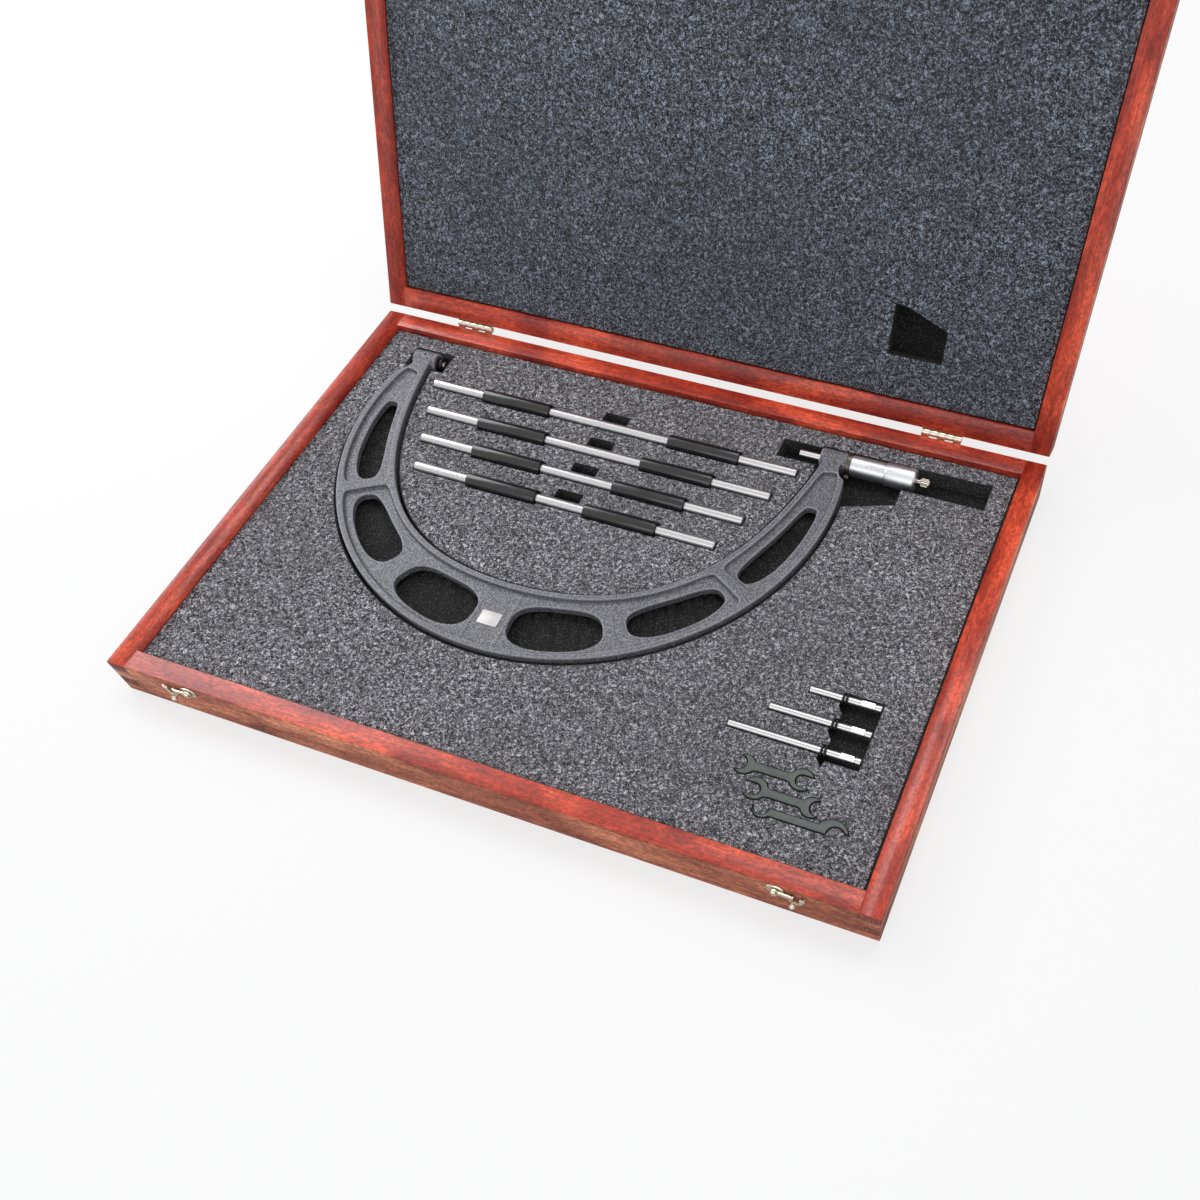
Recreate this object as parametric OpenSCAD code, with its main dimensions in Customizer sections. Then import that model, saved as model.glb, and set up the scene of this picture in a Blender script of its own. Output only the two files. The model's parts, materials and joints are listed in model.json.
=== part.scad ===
// Fitted hardwood case for a large outside micrometer with four setting standards,
// three spare anvils and three flat wrenches.
// Millimetres. Origin at the centre of the underside, X along the front, Y to the hinges, Z up.
// The lid is drawn open, leaning back on its hinge stops.

/* [Case] */
// Outside width of the case, along the front
case_w = 690; // [660:1:760]
// Outside depth of the case, front to back
case_d = 475; // [465:1:520]
// Height of the lower half
base_h = 39; // [38.5:0.5:60]
// Height of the lid
lid_h = 28; // [25:0.5:60]
// Thickness of the hardwood rails
wall = 18.6; // [12:0.2:21]
// Thickness of the bottom and top panels
panel_t = 5; // [3:0.5:7]
// Number of fingers in each corner joint of the base
base_fingers = 4; // [2:1:8]
// Number of fingers in each corner joint of the lid
lid_fingers = 3; // [2:1:8]
// Gap left between the closed rims
rim_gap = 0.2; // [0.1:0.1:1]

/* [Foam] */
// Drop from the rim of the base to the face of its foam
base_foam_drop = 5; // [4.6:0.1:6]
// Drop from the rim of the lid to the face of its foam
lid_foam_drop = 3.5; // [3.2:0.1:8]
// Gap between the foam and the rails around it
foam_gap = 0.8; // [0.2:0.1:2]
// Clearance between a tool and its moulded groove
seat_gap = 0.3; // [0.2:0.1:0.8]
// Clearance between the frame of the micrometer and its pocket
pocket_gap = 2.2; // [1:0.1:3]
// Clearance under the measuring head in its pocket
pocket_below = 1.1; // [0.6:0.1:3]
// Length of the finger relief cut in the lid foam
relief_w = 49.5; // [30:0.5:60]
// Depth of the finger relief, front to back
relief_d = 41.5; // [30:0.5:50]

/* [Hinges] */
// Opening angle of the lid, set by the hinge stops
lid_open = 115; // [95:1:120]
// Distance of each hinge's middle from the side of the case
hinge_side = 100; // [75:1:195]
// Distance of the pin behind the back face
hinge_out = 3.4; // [3.3:0.1:5]
// Height of the pin above the rim of the base
hinge_up = 1.9; // [0:0.1:2.5]
// Length of each hinge
hinge_len = 38; // [30:1:60]
// Height of each leaf
leaf_h = 17; // [12:0.5:24]
// Thickness of each leaf
leaf_t = 1.2; // [0.8:0.1:1.6]
// Outside radius of the knuckles
knuckle_r = 3.1; // [2.6:0.1:3.2]
// Radius of the hinge pin
hinge_pin_r = 1.3; // [0.8:0.1:1.6]

/* [Latches] */
// Distance of each latch from the side of the case
latch_side = 82.5; // [45:0.5:195]
// Depth of the latch pivot below the rim
latch_drop = 6; // [5.5:0.5:8]
// Width of the oval latch plate
plate_w = 15; // [14.5:0.5:18]
// Height of the oval latch plate
plate_h = 10; // [8:0.5:11]
// Thickness of the latch plates
plate_t = 1.2; // [0.8:0.1:1.6]
// Distance from the pivot to the mouth of the hook
hook_reach = 17.5; // [16:0.5:22]
// Width of the hook's arm
hook_arm = 3.8; // [3:0.1:4.6]
// Thickness of the hook
hook_t = 1.8; // [1.2:0.1:2.4]
// Radius of the catch pin on the lid
catch_r = 2; // [1.4:0.1:2.2]
// Angle of the hook's arm below level at rest
hook_rest = 4.6; // [0:0.2:15]
// Radius of the hook's ball grip
knob_r = 2.5; // [1.8:0.1:3]

/* [Micrometer frame] */
// Share of the free width that lies left of the micrometer
set_share = 0.285; // [0.2:0.005:0.4]
// Distance of the spindle axis from the inside of the back rail
axis_in = 30.9; // [28:0.1:34]
// Drop from the foam face to the spindle axis
axis_drop = 3; // [2.8:0.1:4]
// Room between the hubs beyond one step more than the longest standard
throat_gap = 2; // [1:0.1:6]
// Length of each hub
hub_len = 24.8; // [22:0.2:27]
// Diameter of each hub
hub_d = 19.6; // [18:0.2:20]
// Depth of the throat, from the spindle axis to the inside of the bow
throat_d = 234; // [228:1:238]
// Width of the bow at its middle
crown_w = 73; // [66:0.5:78]
// Distance of the bow's round edge inside the end of each hub
arm_in = 0.55; // [0.3:0.05:3]
// Distance of each neck inside the end of its hub
neck_inset = 3.4; // [1.6:0.2:6]
// Radius of the hollow between each arm and its hub
neck_r = 16; // [8:1:24]
// Thickness of the frame at its flanges
frame_t = 15; // [12:0.5:16]
// Thickness of the frame at its web
web_t = 7; // [5:0.5:9]
// Width of the flange around the frame
flange_w = 5.6; // [4:0.2:6.6]
// Width of web left inside each window
window_in = 14; // [12:0.2:17]
// Width of web left outside each window
window_out = 10.6; // [9:0.2:14]
// Width of the bare name plate on the web
label_w = 19; // [12:0.5:22]
// Height of the bare name plate on the web
label_h = 14.6; // [10:0.2:18]

/* [Micrometer head] */
// Diameter of the spindle and of the fitted anvil
spindle_d = 7.2; // [6:0.1:8]
// Length of spindle that stands out of its hub at rest
spindle_out = 21.2; // [19:0.2:22]
// Travel of the spindle from open to closed
travel = 25.4; // [20:0.2:26]
// Part of the travel that is left before the spindle is fully open
travel_back = 8.4; // [7.8:0.2:10]
// Diameter of the lock ring
lock_d = 21.8; // [21:0.1:22]
// Width of the lock ring
lock_w = 4.6; // [3.6:0.1:5.4]
// Outside diameter of the graduated sleeve
sleeve_d = 18.8; // [17:0.1:19]
// Length of sleeve that still shows when the spindle is closed
sleeve_left = 15.6; // [12:0.2:19]
// Outside diameter of the thimble
thimble_d = 21.2; // [20.6:0.1:21.6]
// Length of the thimble beyond the travel
thimble_more = 3.1; // [2.8:0.1:6]
// Diameter of the ratchet stop
ratchet_d = 8.4; // [7:0.1:10]
// Length of the ratchet stop's knob
ratchet_len = 9; // [7:0.5:12]

/* [Anvils] */
// Diameter of the spare anvils
anvil_d = 6.35; // [5:0.05:7]
// Length of the shortest spare anvil
anvil_len = 61; // [56:0.5:66]
// Step between the spare anvils and between the standards
inch_step = 25.4; // [24:0.1:26]
// Diameter of the anvil nuts
nut_d = 11; // [9:0.1:12]
// Thickness of each anvil nut
nut_t = 2.2; // [1.6:0.1:2.6]
// Length of anvil shank beyond the nuts
shank_len = 28; // [24:0.5:31]
// Distance between neighbouring spare anvils
anvil_pitch = 26.2; // [20:0.1:28]
// Distance of the spare anvils' ends from the inside of the right rail
anvil_side = 39.2; // [34:0.2:50]
// Distance of the first spare anvil from the inside of the front rail
anvil_front = 157.2; // [152:0.2:162]

/* [Standards] */
// Length of the shortest setting standard
std_len = 304.8; // [296:0.1:308]
// Diameter of the measuring rods
rod_d = 9.53; // [8:0.01:12]
// Diameter of the insulating grips
grip_d = 14.6; // [13:0.1:15]
// Length of each insulating grip
grip_len = 71.5; // [60:0.5:80]
// Length of bare rod outside each grip
bare_end = 56.5; // [40:0.5:60]
// Distance between neighbouring standards
std_pitch = 35; // [28:0.5:35]
// Distance of the longest standard in front of the spindle axis
std_drop = 29; // [27:0.5:32]
// Depth of the finger notch behind each standard
notch_d = 17; // [12:0.5:18]
// Width of each finger notch
notch_w = 24.7; // [16:0.1:40]

/* [Wrenches] */
// Thickness of the flat wrenches
wrench_t = 2.2; // [1.8:0.1:3]
// Height of the wrenches above the foam face
wrench_up = 1; // [0.5:0.1:1.4]
// Width of the wrench handles
handle_w = 6.8; // [5:0.1:8]
// Half the distance between the two heads of an open wrench
open_half = 23.6; // [20:0.1:25]
// Outside radius of the straight-jawed head
flat_head_r = 9.6; // [8.4:0.1:9.8]
// Half the width of the straight jaw
flat_jaw = 5.8; // [4:0.1:6.4]
// Outside radius of the round-jawed head
round_head_r = 8.6; // [8:0.1:9.2]
// Radius of the round jaw
round_jaw = 7.2; // [6:0.1:7.4]
// Outside radius of the hook on the hook wrench
claw_r = 12.7; // [11.6:0.1:13.4]
// Inside radius of the hook on the hook wrench
claw_in = 7.9; // [6.5:0.1:8.4]
// Distance of the hook wrench's middle from the inside of the right rail
wrench_side = 67.4; // [60:0.2:90]
// Distance of the hook wrench's middle from the inside of the front rail
wrench_front = 38.9; // [30:0.1:42]

/* [Hidden] */
eps = 0.01;
run = 0.05;
WOOD = [0.66, 0.20, 0.14];
FOAM = [0.24, 0.24, 0.27];
NICKEL = [0.86, 0.82, 0.70];
STEEL = [0.82, 0.82, 0.84];
ENAMEL = [0.36, 0.36, 0.39];
BLACK = [0.10, 0.10, 0.11];

in_w = case_w - 2 * wall;
in_d = case_d - 2 * wall;
foam_z = base_h - base_foam_drop;
pin_y = case_d / 2 + hinge_out;
pin_z = base_h + hinge_up;
lid_z = base_h + rim_gap;
lid_foam_z = lid_z + lid_foam_drop;
face_y = -case_d / 2;
hinge_x = case_w / 2 - hinge_side;
latch_x = case_w / 2 - latch_side;

// Sizes of the micrometer that follow from others
throat_w = std_len + 4 * inch_step + throat_gap;
hub_in = throat_w / 2;
hub_out = hub_in + hub_len;
bow_d = throat_d + crown_w;
arm_half = hub_out - arm_in;
bow_r = (arm_half * arm_half + bow_d * bow_d) / (2 * bow_d);
sleeve_out = sleeve_left + travel - travel_back;
thimble_len = travel + thimble_more;
ratchet_gap = 0.3;
neck_len = 3.2;
head_len = lock_w + 0.4 + sleeve_out + thimble_len + 0.8 + ratchet_gap + neck_len + ratchet_len;

// Places of the tools in the foam
free_w = in_w - bow_r - hub_out - head_len;
set_x = free_w * set_share + bow_r - in_w / 2;
axis_y = in_d / 2 - axis_in;
axis_z = foam_z - axis_drop;
std_y = axis_y - std_drop;
anvil_y = anvil_front - in_d / 2;
anvil_end_x = in_w / 2 - anvil_side;
wrench_c = [in_w / 2 - wrench_side, wrench_front - in_d / 2];
wrench_a = wrench_c + [-33.5, 34.6];
wrench_b = wrench_c + [-17.8, 15.5];

// Tools used by several parts
// Bar along X, from x0 to x1, round the axis at y and z
module bar_x(x0, x1, r, y, z) {
  translate([x0, y, z]) rotate([0, 90, 0]) cylinder(r = r, h = x1 - x0, $fn = 64);
}

// Bar with small chamfers at both ends
module chamfered_bar_x(x0, x1, r, y, z, c = 0.5) {
  len = x1 - x0;
  translate([x0, y, z]) rotate([0, 90, 0])
    rotate_extrude($fn = 64)
      polygon([[0, 0], [r - c, 0], [r, c], [r, len - c], [r - c, len], [0, len]]);
}

// Tube along X
module tube_x(x0, x1, r, bore, y, z) {
  difference() {
    bar_x(x0, x1, r, y, z);
    bar_x(x0 - 1, x1 + 1, bore, y, z);
  }
}

// Bar along Y, from y0 to y1
module bar_y(x, z, y0, y1, r) {
  translate([x, y1, z]) rotate([90, 0, 0]) cylinder(r = r, h = y1 - y0, $fn = 48);
}

// Swings a closed lid part to the open position
module opened() {
  translate([0, pin_y, pin_z]) rotate([-lid_open, 0, 0]) translate([0, -pin_y, -pin_z])
    children();
}

// Finger-jointed rails
// A straight run with its share of the corner fingers; own picks odd or even fingers
module rail(inner, h, n, own) {
  finger_h = h / n;
  translate([-inner / 2, 0, 0]) cube([inner, wall, h]);
  for (i = [own : 2 : n - 1])
    for (side = [-1, 1])
      translate([side > 0 ? inner / 2 - eps : -inner / 2 - wall, 0, i * finger_h])
        cube([wall + eps, wall, finger_h]);
}

module front_rail(h, n, own) {
  translate([0, face_y, 0]) rail(in_w, h, n, own);
}

module back_rail(h, n, own) {
  translate([0, case_d / 2 - wall, 0]) rail(in_w, h, n, own);
}

module side_rail(h, n, own, side) {
  x0 = side > 0 ? case_w / 2 : -in_w / 2;
  translate([x0, 0, 0]) rotate([0, 0, 90]) rail(in_d, h, n, own);
}

// Small wood screws: places along a face, as [x, z] pairs
screw_r = 1.2;
screw_head_r = 2.2;
screw_len = 9;
screw_proud = 0.2;
screw_slot = 0.5;
hinge_screw_z = leaf_h * 0.62;

// The head lies in the plate and stands a little proud of it
module screws_y(places, y_face, dir, plate) {
  for (p = places) {
    a = y_face + dir * (plate + screw_proud);
    b = y_face - dir * screw_len;
    bar_y(p[0], p[1], min(y_face, b), max(y_face, b), screw_r);
    difference() {
      bar_y(p[0], p[1], min(a, y_face), max(a, y_face), screw_head_r);
      translate([p[0] - screw_head_r - 1, a - 0.4, p[1] - screw_slot / 2])
        cube([2 * screw_head_r + 2, 0.8, screw_slot]);
    }
  }
}

module screw_holes_y(places, y_face, dir) {
  for (p = places) {
    b = y_face - dir * screw_len;
    bar_y(p[0], p[1], min(y_face + dir, b), max(y_face + dir, b), screw_r);
  }
}

module head_holes_y(places, y_face, dir) {
  for (p = places)
    bar_y(p[0], p[1], y_face - 4, y_face + 4, screw_head_r);
}

hinge_screw_x = [for (s = [-1, 1]) for (k = [-1, 0, 1]) s * hinge_x + k * hinge_len * 0.34];
base_hinge_places = [for (x = hinge_screw_x) [x, base_h - hinge_screw_z]];
lid_hinge_places = [for (x = hinge_screw_x) [x, lid_z + hinge_screw_z]];
latch_z = base_h - latch_drop;
pin_drop = 1.5;
catch_z = latch_z + sqrt(hook_reach * hook_reach + pin_drop * pin_drop);
plate_screw_x = plate_w * 0.3;
latch_places = [for (s = [-1, 1]) for (k = [-1, 1]) [s * latch_x + k * plate_screw_x, latch_z]];
catch_places = [for (s = [-1, 1]) for (k = [-1, 1]) [s * latch_x + k * plate_screw_x, catch_z]];

// Lower half of the case
module base_front_rail() {
  color(WOOD) difference() {
    front_rail(base_h, base_fingers, 0);
    screw_holes_y(latch_places, face_y, -1);
  }
}

module base_back_rail() {
  color(WOOD) difference() {
    back_rail(base_h, base_fingers, 0);
    screw_holes_y(base_hinge_places, case_d / 2, 1);
  }
}

module base_left_rail() {
  color(WOOD) side_rail(base_h, base_fingers, 1, -1);
}

module base_right_rail() {
  color(WOOD) side_rail(base_h, base_fingers, 1, 1);
}

module base_panel() {
  color(WOOD) translate([-in_w / 2, -in_d / 2, 0]) cube([in_w, in_d, panel_t]);
}

// Shape of the micrometer's bow
// Local frame: u across, w along the throat, both from the middle of the spindle axis
bow_c = bow_r - bow_d;
bez = [[0, -throat_d], [0.577 * throat_d, -throat_d],
       [0.933 * hub_in, -0.632 * throat_d], [hub_in + 4.3, -hub_d / 2]];

// A point on the inner edge, for t from -1 on the left to 1 on the right
function inner_edge(t) =
  let (a = abs(t), b = 1 - a)
  let (p = b * b * b * bez[0] + 3 * b * b * a * bez[1] + 3 * b * a * a * bez[2] + a * a * a * bez[3])
  [t < 0 ? -p[0] : p[0], p[1]];

// Angle and radius of the inner edge, seen from the centre of the bow
function edge_angle(t) = let (p = inner_edge(t)) atan2(p[0], bow_c - p[1]);
function edge_radius(t) = let (p = inner_edge(t)) norm([p[0], p[1] - bow_c]);
function bow_point(angle, r) = [r * sin(angle), bow_c - r * cos(angle)];

// Rounded opening between two places on the bow, kept inside the two margins.
// p0 and p1 set how square its two ends are.
function bow_slot(t0, t1, margin_in, margin_out, p0, p1, n = 20) =
  let (mid = (t0 + t1) / 2, half = (t1 - t0) / 2)
  [for (side = [1, -1]) for (i = [0 : n - 1])
    let (s = side * -cos(180 * i / n), p = s < 0 ? p0 : p1, t = mid + half * s)
    let (lo = edge_radius(t) + margin_in, hi = bow_r - margin_out)
    let (h = (hi - lo) / 2 * pow(max(0, 1 - pow(abs(s), p)), 1 / p))
    bow_point(edge_angle(t), (lo + hi) / 2 + side * h)];

// Inner edge moved by a margin, closed off above the hubs
function throat_shape(margin, top, n = 30) =
  [for (i = [-n : n]) let (t = i / n) bow_point(edge_angle(t), edge_radius(t) + margin),
   [bez[3][0] + margin, top], [-bez[3][0] - margin, top]];

module bow_outline(grow, top) {
  difference() {
    translate([0, bow_c]) circle(r = bow_r + grow, $fn = 160);
    translate([-case_w / 2, top]) square([case_w, case_d]);
    polygon(throat_shape(-grow, top + 1));
    for (s = [-1, 1]) scale([s, 1]) neck_cut(grow);
  }
}

// Takes the outer corner off the top of each arm, so that it narrows to the neck of its hub
module neck_cut(grow) {
  u = hub_out - neck_inset + grow;
  w = -hub_d / 2 - 2;
  translate([u + neck_r - grow, w]) circle(r = neck_r - grow, $fn = 72);
  translate([u, w]) square([2 * neck_r, hub_d + 4]);
}

rib_t = 0.562;
rib_half = 0.014;
lower_end = rib_t - rib_half;
upper_start = rib_t + rib_half;

module bow_recesses() {
  polygon(concat(
    [for (p = bow_slot(-lower_end, lower_end, flange_w, flange_w, 14, 14, 48)) p]));
  for (s = [-1, 1]) scale([s, 1])
    polygon(bow_slot(upper_start, 0.965, flange_w, flange_w, 9, 9, 28));
}

module bow_windows() {
  for (s = [-1, 1]) scale([s, 1]) {
    polygon(bow_slot(0.036, 0.23, window_in, window_out, 2.9, 2.9));
    polygon(bow_slot(0.284, 0.532, window_in, window_out + 1.6, 2.8, 2.8));
    polygon(bow_slot(0.589, 0.86, window_in - 1.4, window_out + 2.8, 2.8, 5.5));
  }
}

set_screw_r = 1.4;
label_w_pos = 0.4685 * crown_w - bow_d;
web_lines = 15.5;

module at_mic() {
  translate([set_x, axis_y, axis_z]) children();
}

module mic_frame() {
  color(ENAMEL) at_mic() difference() {
    union() {
      difference() {
        translate([0, 0, -frame_t / 2]) linear_extrude(frame_t) bow_outline(0, 0);
        for (z = [web_t / 2, -frame_t / 2 - 1])
          translate([0, 0, z]) linear_extrude(frame_t / 2 - web_t / 2 + 1) bow_recesses();
      }
      for (s = [-1, 1]) translate([s > 0 ? hub_in : -hub_out, 0, 0])
        rotate([0, 90, 0]) cylinder(d = hub_d, h = hub_len, $fn = 64);
      for (s = [-1, 1]) translate([s * web_lines - 0.7, -bow_d + 9, 0])
        cube([1.4, bow_d - throat_d - 18, web_t / 2 + 0.8]);
    }
    translate([0, 0, -frame_t]) linear_extrude(2 * frame_t) bow_windows();
    translate([hub_in - 1, 0, 0]) rotate([0, 90, 0])
      cylinder(r = spindle_d / 2 + run, h = hub_len + 2, $fn = 64);
    translate([-hub_out - 1, 0, 0]) rotate([0, 90, 0])
      cylinder(r = spindle_d / 2, h = hub_len + 2, $fn = 64);
    translate([-(hub_in + hub_out) / 2, 0, 0]) cylinder(r = set_screw_r, h = hub_d, $fn = 32);
  }
}

module name_plate() {
  color("white") at_mic() translate([-label_w / 2, label_w_pos - label_h / 2, web_t / 2])
    cube([label_w, label_h, 0.6]);
}

module anvil_set_screw() {
  color(BLACK) at_mic() translate([-(hub_in + hub_out) / 2, 0, spindle_d / 2])
    difference() {
      cylinder(r = set_screw_r, h = hub_d / 2 - spindle_d / 2 - 0.4, $fn = 32);
      translate([0, 0, hub_d / 2 - spindle_d / 2 - 1.6]) cylinder(r = 0.7, h = 2, $fn = 6);
    }
}

// The anvil that is fitted in the frame, and its adjusting nuts
fitted_nut_d = 13;
fitted_nut_t = 2.4;
fitted_tip = 7.6;

module fitted_anvil() {
  color(STEEL) at_mic() chamfered_bar_x(-hub_out - 4.2, -hub_in + fitted_tip, spindle_d / 2, 0, 0);
}

module fitted_anvil_nuts() {
  color(BLACK) at_mic() {
    for (x = [-hub_out - fitted_nut_t, -hub_in, -hub_in + fitted_nut_t + 0.8])
      tube_x(x, x + fitted_nut_t, fitted_nut_d / 2, spindle_d / 2, 0, 0);
  }
}

// Measuring head, along X from the face of the right hub
head_x = set_x + hub_out;
lock_x = head_x + 0.2;
sleeve_x = lock_x + lock_w + 0.2;
thimble_x = sleeve_x + sleeve_out;
thimble_end = thimble_x + thimble_len;
cover = travel_back + 1.2;
barrel_r = spindle_d / 2 + 2.4;
thimble_bore = sleeve_d / 2 + 0.3;

module barrel() {
  color(STEEL) tube_x(head_x, thimble_x + cover, barrel_r, spindle_d / 2 + run, axis_y, axis_z);
}

module sleeve() {
  color(STEEL) tube_x(sleeve_x, thimble_x + cover, sleeve_d / 2, barrel_r + run,
    axis_y, axis_z);
}

module lock_ring() {
  color([0.35, 0.32, 0.28]) difference() {
    union() {
      bar_x(lock_x, lock_x + lock_w, lock_d / 2, axis_y, axis_z);
      translate([lock_x, axis_y, axis_z]) rotate([120, 0, 0])
        translate([0, 0, lock_d / 2 - 1]) cube([lock_w, 3.2, 3.4]);
    }
    bar_x(lock_x - 1, lock_x + lock_w + 1, barrel_r + run, axis_y, axis_z);
  }
}

module spindle() {
  color(STEEL) chamfered_bar_x(set_x + hub_in - spindle_out, thimble_end + 0.8,
    spindle_d / 2, axis_y, axis_z, 0.4);
}

wall_end = 1.3;
module thimble() {
  r = thimble_d / 2;
  len = thimble_len;
  color(STEEL) translate([thimble_x, axis_y, axis_z]) rotate([0, 90, 0])
    rotate_extrude($fn = 96)
      polygon([[thimble_bore, 0], [thimble_bore + 0.35, 0], [r, 2], [r, len - 1.6], [r - 1.6, len],
               [spindle_d / 2 + run, len], [spindle_d / 2 + run, len - wall_end],
               [thimble_bore, len - wall_end]]);
}

module ratchet_stop() {
  r = ratchet_d / 2;
  color(STEEL) translate([thimble_end + 0.8 + ratchet_gap, axis_y, axis_z]) rotate([0, 90, 0])
    rotate_extrude($fn = 64)
      polygon([[0, 0], [r - 1.5, 0], [r - 1.5, neck_len], [r - 0.5, neck_len], [r, neck_len + 0.5],
               [r, neck_len + ratchet_len - 0.8], [r - 0.8, neck_len + ratchet_len],
               [0, neck_len + ratchet_len]]);
}

// Setting standards, longest at the back; i counts from the back
function std_length(i) = std_len + (3 - i) * inch_step;
function std_at(i) = std_y - i * std_pitch;

module standard(i) {
  half = std_length(i) / 2;
  color(STEEL) chamfered_bar_x(set_x - half, set_x + half, rod_d / 2, std_at(i), foam_z, 0.6);
}

module grips(i) {
  half = std_length(i) / 2;
  color(BLACK) for (s = [-1, 1]) {
    x0 = s > 0 ? set_x + half - bare_end - grip_len : set_x - half + bare_end;
    difference() {
      chamfered_bar_x(x0, x0 + grip_len, grip_d / 2, std_at(i), foam_z, 0.6);
      bar_x(x0 - 1, x0 + grip_len + 1, rod_d / 2, std_at(i), foam_z);
      for (x = [x0 - 1, x0 + grip_len - 2])
        bar_x(x, x + 3, (rod_d + grip_d) / 4 + 0.4, std_at(i), foam_z);
    }
  }
}

module standard_a() { standard(0); }
module standard_b() { standard(1); }
module standard_c() { standard(2); }
module standard_d() { standard(3); }
module grips_a() { grips(0); }
module grips_b() { grips(1); }
module grips_c() { grips(2); }
module grips_d() { grips(3); }

// Spare anvils, shortest at the back
function spare_len(i) = anvil_len + i * inch_step;
function spare_y(i) = anvil_y - i * anvil_pitch;
nut_x = anvil_end_x - shank_len - nut_t;
nut_x_b = nut_x - nut_t - 0.8;
flat_len = 11;
flat_in = 6;

module spare_anvil(i) {
  r = anvil_d / 2;
  flat_x = anvil_end_x - flat_in - flat_len;
  color(STEEL) difference() {
    chamfered_bar_x(anvil_end_x - spare_len(i), anvil_end_x, r, spare_y(i), foam_z, 0.4);
    for (s = [-1, 1]) translate([flat_x, spare_y(i) - r - 1, foam_z + (s > 0 ? r - 0.8 : -r - 1.2)])
      cube([flat_len, anvil_d + 2, 2]);
    difference() {
      bar_x(anvil_end_x - flat_in + 0.6, anvil_end_x - flat_in + 1.6, r + 1, spare_y(i), foam_z);
      bar_x(anvil_end_x - flat_in - 1, anvil_end_x - flat_in + 3, r - 0.5, spare_y(i), foam_z);
    }
  }
}

module anvil_nuts(i) {
  color(BLACK) for (x = [nut_x, nut_x_b])
    tube_x(x, x + nut_t, nut_d / 2, anvil_d / 2, spare_y(i), foam_z);
}

module spare_anvil_a() { spare_anvil(0); }
module spare_anvil_b() { spare_anvil(1); }
module spare_anvil_c() { spare_anvil(2); }
module anvil_nuts_a() { anvil_nuts(0); }
module anvil_nuts_b() { anvil_nuts(1); }
module anvil_nuts_c() { anvil_nuts(2); }

// Flat wrenches, drawn about their own middles
// Round jaw on the left, straight jaw on the right; grow widens the outline for its groove
module open_wrench_form(grow, t) {
  difference() {
    union() {
      translate([-open_half, -handle_w / 2 - grow, 0])
        cube([2 * open_half, handle_w + 2 * grow, t]);
      translate([-open_half, -0.6, 0]) cylinder(r = round_head_r + grow, h = t, $fn = 64);
      translate([open_half, 0.9, 0]) cylinder(r = flat_head_r + grow, h = t, $fn = 64);
      // Necks that widen into the heads
      linear_extrude(t)
        polygon([[-open_half, -7.4 - grow], [-open_half + 12, -handle_w / 2 + 0.6],
                 [-open_half + 12, handle_w / 2 - 0.6], [-open_half, 6.2 + grow]]);
      linear_extrude(t)
        polygon([[open_half, -7 - grow], [open_half - 13, -handle_w / 2 + 0.6],
                 [open_half - 13, handle_w / 2 - 0.6], [open_half, 8.6 + grow]]);
    }
    translate([-open_half - 5, 0, -1]) cylinder(r = round_jaw - grow, h = t + 2, $fn = 64);
    translate([open_half + 0.6, 0.1, -1]) {
      cylinder(r = flat_jaw - grow, h = t + 2, $fn = 64);
      translate([0, -flat_jaw + grow, 0])
        cube([flat_head_r + 6, 2 * (flat_jaw - grow), t + 2]);
    }
  }
}

// Straight bar with a thin curved claw on the left and the hook on the right
hook_bar = 6;
hook_x0 = -23.5;
hook_x1 = 22.6;
module hook_wrench_shape(grow) {
  low = -hook_bar / 2 - grow;
  translate([hook_x0 - grow, low]) square([hook_x1 - hook_x0 + grow, hook_bar + 2 * grow]);
  difference() {
    translate([hook_x1 + 4.7, -2]) circle(r = claw_r + grow, $fn = 72);
    translate([hook_x1 + 7.9, -2]) circle(r = claw_in - grow, $fn = 72);
    translate([hook_x1 - 2 * claw_r, low - 4 * claw_r]) square([5 * claw_r, 4 * claw_r]);
    translate([hook_x1 + 7.9, low - 1]) square([3 * claw_r, 2.4 - grow - low + 1]);
  }
  difference() {
    translate([hook_x0 - 6, 1.6]) circle(r = 7.6 + grow, $fn = 48);
    translate([hook_x0 - 7.2, 2.5]) circle(r = 6.8 - grow, $fn = 48);
    translate([hook_x0 - 17, 2.4 + grow]) square([20, 12]);
  }
}

module wrench_bed(place) {
  translate([place[0], place[1], foam_z + wrench_up - wrench_t]) children();
}

module open_wrench_a() {
  color(ENAMEL) wrench_bed(wrench_a) open_wrench_form(0, wrench_t);
}

module open_wrench_b() {
  color(ENAMEL) wrench_bed(wrench_b) mirror([1, 0, 0]) open_wrench_form(0, wrench_t);
}

module hook_wrench() {
  color(ENAMEL) wrench_bed(wrench_c) linear_extrude(wrench_t) hook_wrench_shape(0);
}

// Foam of the lower half, with a pocket or groove for each tool
head_pocket_d = 28.2;
head_pocket_x = in_w / 2 - 21.9;
spindle_pocket_x = set_x + hub_in - 39.2;
spindle_pocket_d = 20.6;
anvil_slot_x = set_x - hub_in + 10.9;
hand_x0 = head_x + 9.2;
hand_y0 = axis_y - 54;
hand_x1 = head_x + 56.7;
hand_y1 = axis_y - 36;
anvil_pocket_half = 5.2;
groove = seat_gap + 0.1;
axis_pocket_y = axis_y - 2.4;

module deep_cut(z_floor) {
  translate([0, 0, z_floor]) linear_extrude(base_h) children();
}

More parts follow.
